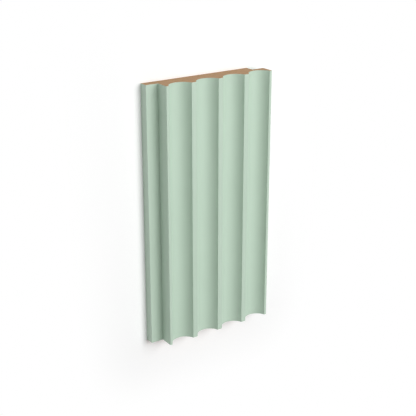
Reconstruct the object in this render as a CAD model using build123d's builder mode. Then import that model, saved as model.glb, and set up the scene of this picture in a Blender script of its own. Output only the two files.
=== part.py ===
"""Fluted wall panel: one board of medium-density fibreboard with round flutes milled in its face.

The long edges carry a half-lap joint. On the left the back of the board runs on as a tongue, and
on the right the face runs on as a lip over a rebate, so that each panel's lip covers its
neighbour's tongue. Half a land stands at each edge, and the flutes keep their pitch across a joint.

The panel lies on its back. X runs across the flutes, Y runs along them and Z points out of the
face. The origin is on the back, in the middle of the panel's outline.
"""

import os
from math import sqrt

from build123d import *

# Driving dimensions, in millimetres
board_thickness = 18.0
panel_length = 200.0
flute_count = 4
flute_radius = 10.0
flute_depth = 6.8
land_width = 4.0
rebate_width = 10.0
tongue_thickness = 7.0
joint_gap = 0.2
arris_radius = 0.25

# Flutes: the cutter's centre stays above the face, so each flute is less than a half circle
cutter_height = board_thickness + flute_radius - flute_depth
flute_width = 2 * sqrt(flute_radius**2 - (flute_radius - flute_depth) ** 2)
flute_pitch = flute_width + land_width
cover_width = flute_count * flute_pitch

# Joint: the tongue stops short of the end and the roof of the rebate, so that the faces close up
tongue_width = rebate_width - joint_gap
rebate_depth = tongue_thickness + joint_gap

# Edges: the shoulders stand where the tongue and the rebate begin
overall_width = tongue_width + cover_width
left_shoulder = tongue_width - overall_width / 2
lip_end = overall_width / 2
right_shoulder = lip_end - rebate_width
flutes_middle = left_shoulder + cover_width / 2

# The easing of the edges leaves some of each half land flat
half_land = land_width / 2
eased_radius = min(arris_radius, half_land / 3)


with BuildPart() as fluted_panel:
    with BuildSketch(Plane.XZ) as section:
        with Locations((left_shoulder, 0)):
            Rectangle(cover_width, board_thickness, align=(Align.MIN, Align.MIN))
            Rectangle(tongue_width, tongue_thickness, align=(Align.MAX, Align.MIN))
        with Locations((right_shoulder, 0)):
            Rectangle(
                rebate_width,
                rebate_depth,
                align=(Align.MIN, Align.MIN),
                mode=Mode.SUBTRACT,
            )
        with Locations((flutes_middle, cutter_height)):
            with GridLocations(flute_pitch, flute_pitch, flute_count, 1):
                Circle(flute_radius, mode=Mode.SUBTRACT)

        face_corners = section.vertices().group_by(Axis.Y)[-1]
        tongue_corner = section.vertices().group_by(Axis.X)[0].sort_by(Axis.Y)[-1]
        lip_corner = section.vertices().group_by(Axis.X)[-1].sort_by(Axis.Y)[0]
        fillet([*face_corners, tongue_corner, lip_corner], eased_radius)
    extrude(amount=panel_length / 2, both=True)

fluted_panel.part.label = "fluted_panel"

os.makedirs("parts", exist_ok=True)
export_step(fluted_panel.part, "parts/fluted_panel.step")
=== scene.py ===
"""Looks of the fluted wall panel: its sprayed paint, its bare fibreboard, and the light and camera.

The panel lies on its back. X runs across the flutes, Y along them and Z out of the face.
"""

import math

import bpy
from mathutils import Color, Matrix, Vector


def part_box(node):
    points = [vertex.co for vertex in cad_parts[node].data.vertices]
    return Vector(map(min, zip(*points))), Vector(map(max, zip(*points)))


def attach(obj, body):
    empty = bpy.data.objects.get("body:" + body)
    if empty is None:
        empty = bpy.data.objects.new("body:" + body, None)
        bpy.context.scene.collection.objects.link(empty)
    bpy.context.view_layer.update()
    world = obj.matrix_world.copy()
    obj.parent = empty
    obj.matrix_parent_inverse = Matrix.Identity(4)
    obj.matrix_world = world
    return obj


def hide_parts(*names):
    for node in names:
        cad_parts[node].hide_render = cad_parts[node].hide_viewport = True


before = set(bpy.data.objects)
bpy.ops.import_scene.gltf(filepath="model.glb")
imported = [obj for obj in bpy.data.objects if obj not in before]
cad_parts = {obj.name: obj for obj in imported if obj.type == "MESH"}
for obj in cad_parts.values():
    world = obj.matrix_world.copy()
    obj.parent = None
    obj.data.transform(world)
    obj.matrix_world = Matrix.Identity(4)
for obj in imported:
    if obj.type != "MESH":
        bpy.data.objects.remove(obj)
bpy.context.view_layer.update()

MM = 0.001
PANEL_NODE = "fluted_panel"

# Sizes of the milled section, in metres
FLUTE_COUNT = 4
FLUTE_RADIUS = 10.0 * MM
FLUTE_DEPTH = 6.8 * MM
LAND_WIDTH = 4.0 * MM
REBATE_WIDTH = 10.0 * MM
TONGUE_THICKNESS = 7.0 * MM
JOINT_GAP = 0.2 * MM
ARRIS_RADIUS = 0.25 * MM

# How finely the outline's arcs are drawn, and the bend past which a corner shows as sharp
FLUTE_POINTS = 49
ARRIS_STEPS = 6
SHARP_BEND = math.radians(30)

# How near two points of the skin lie to be made one, and how far along the panel an end's normal leans
MERGE_REACH = 0.001 * MM
END_LEAN = 0.5

# The panel's own texture map: its side, the room round each patch, and the scale of each patch
MAP_NAME = "OFBake"
MAP_SIDE = 275.0 * MM
MAP_ROOM = 4.0 * MM
MAP_LONG_SCALE = 1.0
MAP_END_SCALE = 1.6

# Index of refraction of the paint's binder, and of wood fibre in resin
ACRYLIC_IOR = 1.49
WOOD_FIBRE_IOR = 1.53

# How much fine detail a noise has, and the scale of one whose mapping already gives its size
SMOOTH_NOISE = 1.0
FINE_NOISE = 2.0
FINEST_NOISE = 3.0
AS_MAPPED = 1.0

# Camera at the viewing angle of the photograph, found from the corners of the panel
CAMERA_PLACE = Vector((-368.2, 242.4, 544.0)) * MM
CAMERA_LOOK = Vector((0.53085, -0.34993, -0.77183))
PHOTO_SIDE = 416
FOCAL_PIXELS = 921.0
SENSOR_WIDTH = 36.0

# Studio: soft light from all round, and a white floor that the camera sees a little brighter than it is.
# The floor stands a hair above the back of the panel, so that the back shows from below.
WHITE = (1.0, 1.0, 1.0, 1.0)
WHITE_STRENGTH = 1.0
AMBIENT_LEVEL = 0.17
FLOOR_SIDE = 8.0
FLOOR_COLOUR = "#FDFDFD"
FLOOR_SHOWN = (1.08, 1.08, 1.08, 1.0)
FLOOR_FADE = 60.0 * MM
FLOOR_RISE = 0.05 * MM

# The board's outline and length come from the panel's part in model.glb
low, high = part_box(PANEL_NODE)
left, foot, back = low
right, head, face = high
panel_length = head - foot
board_thickness = face - back

# Places in the section, as on a milling drawing
cutter_height = face + FLUTE_RADIUS - FLUTE_DEPTH
half_sweep = math.acos((FLUTE_RADIUS - FLUTE_DEPTH) / FLUTE_RADIUS)
flute_pitch = 2 * FLUTE_RADIUS * math.sin(half_sweep) + LAND_WIDTH
left_shoulder = left + REBATE_WIDTH - JOINT_GAP
right_shoulder = right - REBATE_WIDTH
first_flute = left_shoulder + flute_pitch / 2
tongue_face = back + TONGUE_THICKNESS
rebate_top = tongue_face + JOINT_GAP


def linear(hex_colour):
    """An sRGB hex colour as linear red, green and blue, with full alpha."""
    channels = bytes.fromhex(hex_colour.lstrip("#"))
    full = 255
    return (*Color([channel / full for channel in channels]).from_srgb_to_scene_linear(), 1.0)


def add(tree, kind, inputs=None, output=None, **settings):
    """Adds a node with its settings, gives each input a value or links, and returns one output.

    Inputs go by name, or by number where names repeat. The output is the one named, or else the
    first in use.
    """
    node = tree.nodes.new(kind)
    for name, value in settings.items():
        setattr(node, name, value)
    for key, value in (inputs or {}).items():
        named = [socket for socket in node.inputs if socket.enabled and socket.name == key]
        entry = named[0] if named else node.inputs[key]
        for one in value if isinstance(value, list) else [value]:
            if isinstance(one, bpy.types.NodeSocket):
                tree.links.new(one, entry)
            else:
                entry.default_value = one
    outputs = [socket for socket in node.outputs if socket.enabled and output in (None, socket.name)]
    return outputs[0] if outputs else None


def new_material(name):
    """A material with an empty node tree."""
    material = bpy.data.materials.new(name)
    material.use_nodes = True
    material.node_tree.nodes.clear()
    return material


def finish_material(material, colour, ior, relief, relief_height, smoothest, roughest):
    """Gives a material its shader: colour, refraction, and a relief whose high spots are the roughest."""
    tree = material.node_tree
    roughness = add(
        tree,
        "ShaderNodeMapRange",
        {"Value": relief, "To Min": smoothest, "To Max": roughest},
    )
    normal = add(tree, "ShaderNodeBump", {"Height": relief, "Distance": relief_height})
    shader = add(
        tree,
        "ShaderNodeBsdfPrincipled",
        {"Base Color": colour, "Roughness": roughness, "IOR": ior, "Normal": normal},
    )
    add(tree, "ShaderNodeOutputMaterial", {"Surface": shader})
    return material


def sprayed_paint():
    """Acrylic eggshell paint, sprayed on sealed fibreboard.

    It gives the eye an even pale green with a low sheen. The colour drifts a little with the
    thickness of the film, which dries with a faint orange peel.
    """
    thin_film, full_film = linear("#BDD2C0"), linear("#C2D6C5")
    smoothest, roughest = 0.5, 0.6
    drift_size = 45.0 * MM
    # Orange peel about 0.8 mm across is too fine to show, so it is drawn twice as coarse
    peel_size = 1.6 * MM
    peel_height = 0.006 * MM
    material = new_material("sprayed_acrylic_eggshell")
    tree = material.node_tree
    place = add(tree, "ShaderNodeTexCoord", output="Object")
    drift = add(tree, "ShaderNodeTexNoise", {"Vector": place, "Scale": 1 / drift_size})
    colour = add(
        tree,
        "ShaderNodeMix",
        {"Factor": drift, "A": thin_film, "B": full_film},
        data_type="RGBA",
    )
    peel = add(
        tree,
        "ShaderNodeTexNoise",
        {"Vector": place, "Scale": 1 / peel_size, "Detail": SMOOTH_NOISE},
    )
    return finish_material(material, colour, ACRYLIC_IOR, peel, peel_height, smoothest, roughest)


def flecked(tree, place, colour, fleck_colour):
    """A fibreboard colour with the darker flecks of its coarser fibres."""
    # Flecks about 0.4 mm across are too fine to show, so they are drawn twice as coarse
    fleck_size = 0.8 * MM
    fleck_start, fleck_full, fleck_cover = 0.52, 0.8, 0.5
    flecks = add(
        tree,
        "ShaderNodeTexNoise",
        {"Vector": place, "Scale": 1 / fleck_size, "Detail": FINE_NOISE},
    )
    cover = add(
        tree,
        "ShaderNodeMapRange",
        {"Value": flecks, "From Min": fleck_start, "From Max": fleck_full, "To Max": fleck_cover},
    )
    return add(
        tree,
        "ShaderNodeMix",
        {"Factor": cover, "A": colour, "B": fleck_colour},
        data_type="RGBA",
    )


def sawn_fibreboard():
    """Bare medium-density fibreboard, cut across with a fine saw.

    It gives the eye a matt tan in layers that lie with the faces: denser and darker towards both,
    and streaked with fibre all through. The blade leaves faint marks across the layers.
    """
    core, dense = linear("#BA946D"), linear("#B69168")
    streak, fleck = linear("#AB865E"), linear("#8A6742")
    smoothest, roughest = 0.8, 0.95
    dense_depth = 5.0 * MM
    streak_length = 16.0 * MM
    streak_thickness = 1.0 * MM
    streak_start, streak_full, streak_cover = 0.4, 0.8, 0.8
    mark_spacing = 1.2 * MM
    mark_length = 30.0 * MM
    mark_lean = math.radians(12)
    mark_share = 0.5
    relief_height = 0.05 * MM
    material = new_material("sawn_fibreboard")
    tree = material.node_tree
    place = add(tree, "ShaderNodeTexCoord", output="Object")
    height = add(tree, "ShaderNodeSeparateXYZ", {"Vector": place}, output="Z")
    depth = add(tree, "ShaderNodeMath", {0: height, 1: board_thickness / 2}, operation="PINGPONG")
    density = add(
        tree,
        "ShaderNodeMapRange",
        {"Value": depth, "From Max": dense_depth, "To Min": 1.0, "To Max": 0.0},
        interpolation_type="SMOOTHSTEP",
    )
    layered = add(
        tree,
        "ShaderNodeMix",
        {"Factor": density, "A": core, "B": dense},
        data_type="RGBA",
    )
    along_layers = add(
        tree,
        "ShaderNodeMapping",
        {"Vector": place, "Scale": (1 / streak_length, 1 / streak_length, 1 / streak_thickness)},
    )
    streaks = add(
        tree,
        "ShaderNodeTexNoise",
        {"Vector": along_layers, "Scale": AS_MAPPED, "Detail": FINEST_NOISE},
    )
    cover = add(
        tree,
        "ShaderNodeMapRange",
        {"Value": streaks, "From Min": streak_start, "From Max": streak_full, "To Max": streak_cover},
    )
    streaked = add(
        tree,
        "ShaderNodeMix",
        {"Factor": cover, "A": layered, "B": streak},
        data_type="RGBA",
    )
    across_layers = add(
        tree,
        "ShaderNodeMapping",
        {
            "Vector": place,
            "Rotation": (0.0, mark_lean, 0.0),
            "Scale": (1 / mark_spacing, 1 / mark_spacing, 1 / mark_length),
        },
    )
    marks = add(
        tree,
        "ShaderNodeTexNoise",
        {"Vector": across_layers, "Scale": AS_MAPPED, "Detail": SMOOTH_NOISE},
    )
    relief = add(tree, "ShaderNodeMix", {"Factor": mark_share, "A": streaks, "B": marks})
    colour = flecked(tree, place, streaked, fleck)
    return finish_material(
        material, colour, WOOD_FIBRE_IOR, relief, relief_height, smoothest, roughest
    )


def sanded_fibreboard():
    """Bare medium-density fibreboard, as it leaves the belt sander.

    It gives the eye a smooth, matt tan, mottled and flecked where fibres clump, with faint lines
    along the board from the belt.
    """
    dark, light, fleck = linear("#A88460"), linear("#B99873"), linear("#876545")
    smoothest, roughest = 0.7, 0.85
    mottle_size = 8.0 * MM
    # Belt scratches about 0.2 mm apart are too fine to show, so they are drawn four times as coarse
    scratch_spacing = 0.8 * MM
    scratch_length = 60.0 * MM
    scratch_height = 0.01 * MM
    material = new_material("sanded_fibreboard")
    tree = material.node_tree
    place = add(tree, "ShaderNodeTexCoord", output="Object")
    mottle = add(
        tree,
        "ShaderNodeTexNoise",
        {"Vector": place, "Scale": 1 / mottle_size, "Detail": FINEST_NOISE},
    )
    mottled = add(
        tree,
        "ShaderNodeMix",
        {"Factor": mottle, "A": dark, "B": light},
        data_type="RGBA",
    )
    along_belt = add(
        tree,
        "ShaderNodeMapping",
        {"Vector": place, "Scale": (1 / scratch_spacing, 1 / scratch_length, 1 / scratch_spacing)},
    )
    scratches = add(
        tree,
        "ShaderNodeTexNoise",
        {"Vector": along_belt, "Scale": AS_MAPPED, "Detail": FINE_NOISE},
    )
    colour = flecked(tree, place, mottled, fleck)
    return finish_material(
        material, colour, WOOD_FIBRE_IOR, scratches, scratch_height, smoothest, roughest
    )


def board_outline():
    """The corners of the unfluted board, once round from the back of the tongue, as loose points.

    Each point holds its place in the order round the board and the radius that eases it.
    """
    corners = (
        (left, back, 0.0),
        (left, tongue_face, ARRIS_RADIUS),
        (left_shoulder, tongue_face, 0.0),
        (left_shoulder, face, ARRIS_RADIUS),
        (right, face, ARRIS_RADIUS),
        (right, rebate_top, ARRIS_RADIUS),
        (right_shoulder, rebate_top, 0.0),
        (right_shoulder, back, 0.0),
        (left, back, 0.0),
    )
    mesh = bpy.data.meshes.new("board_outline")
    mesh.from_pydata([(x, height, 0.0) for x, height, ease in corners], [], [])
    eases = mesh.attributes.new("ease", "FLOAT", "POINT")
    eases.data.foreach_set("value", [ease for x, height, ease in corners])
    order = mesh.attributes.new("order", "FLOAT", "POINT")
    order.data.foreach_set("value", range(len(corners)))
    face_corner = corners.index((left_shoulder, face, ARRIS_RADIUS))
    return mesh, face_corner


def on_map(tree, skin, flat_place, scale, corner, map_height):
    """Lays a skin out flat on the texture map, with its low left corner at a height on the map."""
    spread = (scale / MAP_SIDE, scale / MAP_SIDE, 0.0)
    across, up = MAP_ROOM - scale * corner[0], map_height - scale * corner[1]
    map_place = add(
        tree,
        "ShaderNodeVectorMath",
        {0: flat_place, 1: spread, 2: (across / MAP_SIDE, up / MAP_SIDE, 0.0)},
        operation="MULTIPLY_ADD",
    )
    return add(
        tree,
        "GeometryNodeStoreNamedAttribute",
        {"Geometry": skin, "Name": MAP_NAME, "Value": map_place},
        data_type="FLOAT2",
        domain="CORNER",
    )


def panel_rule():
    """The tree that mills the outline's flutes, eases its arrises and draws it out along the panel."""
    tree = bpy.data.node_groups.new("fluted_panel_rule", "GeometryNodeTree")
    sockets = {
        "Outline": "NodeSocketGeometry",
        "Flutes": "NodeSocketInt",
        "First Flute": "NodeSocketVector",
        "Flute Pitch": "NodeSocketVector",
        "Flute Radius": "NodeSocketFloat",
        "Flute Start": "NodeSocketFloat",
        "Flute Sweep": "NodeSocketFloat",
        "Flute Points": "NodeSocketInt",
        "Flute Order": "NodeSocketFloat",
        "Point Step": "NodeSocketFloat",
        "Arris Radius": "NodeSocketFloat",
        "Arris Steps": "NodeSocketInt",
        "Foot": "NodeSocketVector",
        "Head": "NodeSocketVector",
        "Panel Length": "NodeSocketVector",
        "Back Height": "NodeSocketFloat",
        "Paint": "NodeSocketMaterial",
        "Sawn Board": "NodeSocketMaterial",
        "Sanded Board": "NodeSocketMaterial",
    }
    for name, kind in sockets.items():
        tree.interface.new_socket(name, in_out="INPUT", socket_type=kind)
    tree.interface.new_socket("Panel", in_out="OUTPUT", socket_type="NodeSocketGeometry")
    given = add(tree, "NodeGroupInput").node.outputs
    place = add(tree, "GeometryNodeInputPosition")
    upright = (math.pi / 2, 0.0, 0.0)

    # One flute is an arc whose two ends, on the face, are eased
    flute = add(
        tree,
        "GeometryNodeCurveArc",
        {
            "Resolution": given["Flute Points"],
            "Radius": given["Flute Radius"],
            "Start Angle": given["Flute Start"],
            "Sweep Angle": given["Flute Sweep"],
        },
        mode="RADIUS",
    )
    eased_flute = add(
        tree,
        "GeometryNodeStoreNamedAttribute",
        {
            "Geometry": flute,
            "Selection": add(tree, "GeometryNodeCurveEndpointSelection"),
            "Name": "ease",
            "Value": given["Arris Radius"],
        },
    )
    cutter_places = add(
        tree,
        "GeometryNodeMeshLine",
        {
            "Count": given["Flutes"],
            "Start Location": given["First Flute"],
            "Offset": given["Flute Pitch"],
        },
    )
    flutes = add(
        tree,
        "GeometryNodeInstanceOnPoints",
        {"Points": cutter_places, "Instance": eased_flute},
    )
    drawn_flutes = add(tree, "GeometryNodeRealizeInstances", {"Geometry": flutes})
    flute_points = add(tree, "GeometryNodeCurveToPoints", {"Curve": drawn_flutes}, mode="EVALUATED")

    # The flutes' points come after the face's left corner, in order from left to right
    flute_order = add(
        tree,
        "ShaderNodeMath",
        {0: add(tree, "GeometryNodeInputIndex"), 1: given["Point Step"], 2: given["Flute Order"]},
        operation="MULTIPLY_ADD",
    )
    ordered_points = add(
        tree,
        "GeometryNodeStoreNamedAttribute",
        {"Geometry": flute_points, "Name": "order", "Value": flute_order},
    )
    corner_points = add(tree, "GeometryNodeMeshToPoints", {"Mesh": given["Outline"]})
    all_points = add(tree, "GeometryNodeJoinGeometry", {"Geometry": [corner_points, ordered_points]})
    crisp_section = add(
        tree,
        "GeometryNodePointsToCurves",
        {
            "Points": all_points,
            "Weight": add(tree, "GeometryNodeInputNamedAttribute", {"Name": "order"}),
        },
    )
    section = add(
        tree,
        "GeometryNodeFilletCurve",
        {
            "Curve": crisp_section,
            "Count": given["Arris Steps"],
            "Radius": add(tree, "GeometryNodeInputNamedAttribute", {"Name": "ease"}),
        },
        mode="POLY",
    )

    # The long faces are the section stood upright at the foot and drawn out to the head
    measured_section = add(
        tree,
        "GeometryNodeStoreNamedAttribute",
        {
            "Geometry": section,
            "Name": "run",
            "Value": add(tree, "GeometryNodeSplineParameter", output="Length"),
        },
    )
    ring = add(tree, "GeometryNodeCurveToMesh", {"Curve": measured_section})
    foot_ring = add(
        tree,
        "GeometryNodeTransform",
        {"Geometry": ring, "Translation": given["Foot"], "Rotation": upright},
    )
    drawn_out = add(
        tree,
        "GeometryNodeExtrudeMesh",
        {"Mesh": foot_ring, "Offset": given["Panel Length"]},
        mode="EDGES",
    )
    long_faces = add(tree, "GeometryNodeFlipFaces", {"Mesh": drawn_out})
    unrolled = add(
        tree,
        "ShaderNodeCombineXYZ",
        {
            "X": add(tree, "GeometryNodeInputNamedAttribute", {"Name": "run"}),
            "Y": add(tree, "ShaderNodeSeparateXYZ", {"Vector": place}, output="Y"),
        },
    )
    skins = [on_map(tree, long_faces, unrolled, MAP_LONG_SCALE, (0.0, foot), MAP_ROOM)]

    # The ends are the section filled and stood upright, and the one at the head is turned over
    end = add(tree, "GeometryNodeFillCurve", {"Curve": section}, mode="NGONS")
    foot_map = panel_length + 2 * MAP_ROOM
    head_map = foot_map + board_thickness * MAP_END_SCALE + MAP_ROOM
    for spot, map_height, turned in (("Foot", foot_map, False), ("Head", head_map, True)):
        flat_end = on_map(tree, end, place, MAP_END_SCALE, (left, back), map_height)
        stood_end = add(
            tree,
            "GeometryNodeTransform",
            {"Geometry": flat_end, "Translation": given[spot], "Rotation": upright},
        )
        skins.append(add(tree, "GeometryNodeFlipFaces", {"Mesh": stood_end, "Selection": turned}))

    # One closed skin, smooth along its arcs and sharp at its corners
    joined = add(tree, "GeometryNodeJoinGeometry", {"Geometry": skins})
    closed = add(tree, "GeometryNodeMergeByDistance", {"Geometry": joined, "Distance": MERGE_REACH})
    smooth = add(tree, "GeometryNodeSetShadeSmooth", {"Geometry": closed}, domain="FACE")
    bend = add(tree, "GeometryNodeInputMeshEdgeAngle", output="Unsigned Angle")
    sharp = add(tree, "FunctionNodeCompare", {"A": bend, "B": SHARP_BEND}, operation="GREATER_THAN")
    creased = add(
        tree,
        "GeometryNodeSetShadeSmooth",
        {"Geometry": smooth, "Selection": sharp, "Shade Smooth": False},
        domain="EDGE",
    )

    # Paint all over, then bare board on the two sawn ends and on the back
    normal = add(tree, "GeometryNodeInputNormal")
    facing = add(tree, "ShaderNodeSeparateXYZ", {"Vector": normal}, output="Y")
    lean = add(tree, "ShaderNodeMath", {0: facing}, operation="ABSOLUTE")
    on_end = add(tree, "FunctionNodeCompare", {"A": lean, "B": END_LEAN}, operation="GREATER_THAN")
    height = add(tree, "ShaderNodeSeparateXYZ", {"Vector": place}, output="Z")
    on_back = add(
        tree,
        "FunctionNodeCompare",
        {"A": height, "B": given["Back Height"], "Epsilon": MERGE_REACH},
        operation="EQUAL",
    )
    panel = add(tree, "GeometryNodeRealizeInstances", {"Geometry": creased})
    panel = add(tree, "GeometryNodeSetMaterial", {"Geometry": panel, "Material": given["Paint"]})
    for where, board in ((on_end, "Sawn Board"), (on_back, "Sanded Board")):
        panel = add(
            tree,
            "GeometryNodeSetMaterial",
            {"Geometry": panel, "Selection": where, "Material": given[board]},
        )
    add(tree, "NodeGroupOutput", {"Panel": panel})
    return tree


def milled_panel():
    """The panel as a plain mesh, made by its rule from the sizes above."""
    outline, face_corner = board_outline()
    point_step = 1 / (FLUTE_COUNT * FLUTE_POINTS + 1)
    straight_down = 1.5 * math.pi
    sizes = {
        "Flutes": FLUTE_COUNT,
        "First Flute": (first_flute, cutter_height, 0.0),
        "Flute Pitch": (flute_pitch, 0.0, 0.0),
        "Flute Radius": FLUTE_RADIUS,
        "Flute Start": straight_down - half_sweep,
        "Flute Sweep": 2 * half_sweep,
        "Flute Points": FLUTE_POINTS,
        "Flute Order": face_corner + point_step,
        "Point Step": point_step,
        "Arris Radius": ARRIS_RADIUS,
        "Arris Steps": ARRIS_STEPS,
        "Foot": (0.0, foot, 0.0),
        "Head": (0.0, head, 0.0),
        "Panel Length": (0.0, panel_length, 0.0),
        "Back Height": back,
        "Paint": sprayed_paint(),
        "Sawn Board": sawn_fibreboard(),
        "Sanded Board": sanded_fibreboard(),
    }
    piece = bpy.data.objects.new("milled_panel", outline)
    bpy.context.collection.objects.link(piece)
    rule = piece.modifiers.new("rule", "NODES")
    rule.node_group = panel_rule()
    for item in rule.node_group.interface.items_tree:
        if item.name in sizes:
            rule[item.identifier] = sizes[item.name]
    evaluated = piece.evaluated_get(bpy.context.evaluated_depsgraph_get())
    plain = bpy.data.meshes.new_from_object(evaluated)
    # The first slot is the empty one that the rule's faces had before they were given materials
    plain.materials.pop(index=0)
    piece.modifiers.clear()
    piece.data = plain
    for name in ("ease", "order", "run"):
        plain.attributes.remove(plain.attributes[name])
    return piece


def seen_directly(tree):
    """1 for rays from the camera, or by way of a mirror or glass, and 0 for the light on the panel."""
    rays = add(tree, "ShaderNodeLightPath").node.outputs
    seen = rays["Is Camera Ray"]
    for way in ("Is Glossy Ray", "Is Transmission Ray"):
        seen = add(tree, "ShaderNodeMath", {0: seen, 1: rays[way]}, operation="MAXIMUM")
    return seen


def white_floor():
    """A matt white floor that keeps the panel's shadow, and fades to plain white away from the panel."""
    material = new_material("matt_white_floor")
    tree = material.node_tree
    place = add(tree, "ShaderNodeTexCoord", output="Object")
    mirrored = add(tree, "ShaderNodeVectorMath", {0: place}, operation="ABSOLUTE")
    past_edges = add(
        tree,
        "ShaderNodeVectorMath",
        {0: mirrored, 1: (right, head, 0.0)},
        operation="SUBTRACT",
    )
    outside = add(tree, "ShaderNodeVectorMath", {0: past_edges}, operation="MAXIMUM")
    reach = add(tree, "ShaderNodeVectorMath", {0: outside}, output="Value", operation="LENGTH")
    fade = add(
        tree,
        "ShaderNodeMapRange",
        {"Value": reach, "From Max": FLOOR_FADE},
        interpolation_type="SMOOTHSTEP",
    )
    seen = seen_directly(tree)
    colour = add(
        tree,
        "ShaderNodeMix",
        {"Factor": seen, "A": linear(FLOOR_COLOUR), "B": FLOOR_SHOWN},
        data_type="RGBA",
    )
    faded = add(
        tree,
        "ShaderNodeMixShader",
        {
            0: add(tree, "ShaderNodeMath", {0: fade, 1: seen}, operation="MULTIPLY"),
            1: add(tree, "ShaderNodeBsdfDiffuse", {"Color": colour}),
            2: add(tree, "ShaderNodeEmission", {"Color": WHITE, "Strength": WHITE_STRENGTH}),
        },
    )
    add(tree, "ShaderNodeOutputMaterial", {"Surface": faded})
    bpy.ops.mesh.primitive_plane_add(size=FLOOR_SIDE, location=(0.0, 0.0, back + FLOOR_RISE))
    floor = bpy.context.object
    floor.name = "floor"
    floor.data.materials.append(material)


def soft_surroundings():
    """Even light from all round, which shows as plain white."""
    world = bpy.data.worlds.new("studio")
    world.use_nodes = True
    tree = world.node_tree
    tree.nodes.clear()
    level = add(
        tree,
        "ShaderNodeMapRange",
        {"Value": seen_directly(tree), "To Min": AMBIENT_LEVEL, "To Max": WHITE_STRENGTH},
    )
    background = add(tree, "ShaderNodeBackground", {"Color": WHITE, "Strength": level})
    add(tree, "ShaderNodeOutputWorld", {"Surface": background})
    bpy.context.scene.world = world


def softbox(name, level, azimuth, height, distance, size):
    """A round softbox aimed at the panel, from an azimuth and a height in degrees.

    A white surface that faces it from the panel's place shows its level.
    """
    lamp = bpy.data.lights.new(name, "AREA")
    lamp.shape = "DISK"
    lamp.size = size
    lamp.energy = level * (math.pi * distance) ** 2
    stand = bpy.data.objects.new(name, lamp)
    turn, tilt = math.radians(azimuth), math.radians(height)
    way = Vector((math.cos(tilt) * math.cos(turn), math.cos(tilt) * math.sin(turn), math.sin(tilt)))
    stand.location = way * distance
    stand.rotation_euler = way.to_track_quat("Z", "Y").to_euler()
    bpy.context.collection.objects.link(stand)


def photo_camera():
    """The camera that sees the panel as the photograph does, with the panel's length upright in it."""
    camera = bpy.data.cameras.new("camera")
    camera.sensor_width = SENSOR_WIDTH
    camera.lens = FOCAL_PIXELS * SENSOR_WIDTH / PHOTO_SIDE
    camera_object = bpy.data.objects.new("camera", camera)
    look = CAMERA_LOOK.normalized()
    along_panel = Vector((0.0, 1.0, 0.0))
    sideways = look.cross(along_panel).normalized()
    turn = Matrix((sideways, sideways.cross(look), -look)).transposed()
    camera_object.matrix_world = Matrix.Translation(CAMERA_PLACE) @ turn.to_4x4()
    bpy.context.collection.objects.link(camera_object)
    bpy.context.scene.camera = camera_object


panel = milled_panel()
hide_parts(PANEL_NODE)
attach(panel, "root")
white_floor()
soft_surroundings()
softbox("key_softbox", level=0.94, azimuth=45, height=66, distance=1.5, size=1.35)
softbox("fill_softbox", level=0.12, azimuth=165, height=12, distance=1.2, size=0.8)
softbox("back_softbox", level=0.94, azimuth=45, height=-66, distance=1.5, size=1.35)
photo_camera()
bpy.context.scene.view_settings.view_transform = "Standard"
